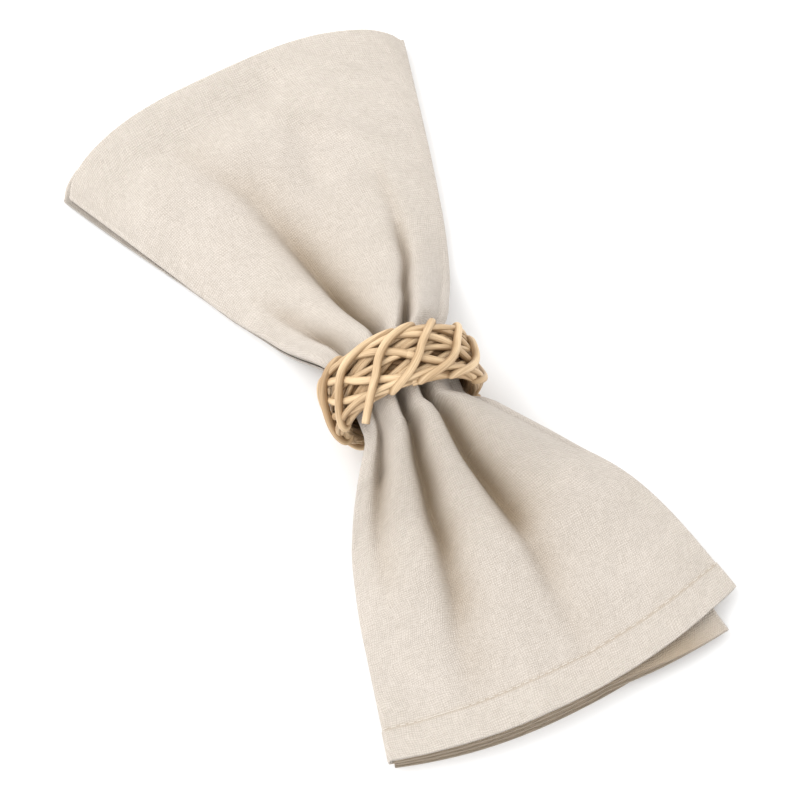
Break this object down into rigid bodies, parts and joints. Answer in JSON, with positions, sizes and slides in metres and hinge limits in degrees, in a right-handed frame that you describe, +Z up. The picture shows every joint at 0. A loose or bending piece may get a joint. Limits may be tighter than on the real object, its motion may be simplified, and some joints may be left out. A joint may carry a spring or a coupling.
{
  "type": "napkin in a ring",
  "caption": "Square cloth napkin, folded flat and drawn through a woven cane ring, with its hemmed end and its folded end fanned out on the table.",
  "frame": {"origin": "on the table, under the middle of the whole object's box", "axes": "+Y along the napkin towards its folded end, +X across it, +Z up from the table"},
  "size_m": [0.1284, 0.247, 0.054],
  "materials": {
    "napkin_cloth": "undyed cotton and linen plain weave, matt, softly creased, with a turned and stitched hem",
    "ring_cane": "natural peeled rattan cane, unvarnished, satin, woven round and over itself"
  },
  "bodies": {
    "root": {"napkin": "napkin_cloth", "ring": "ring_cane"}
  },
  "joints": []
}
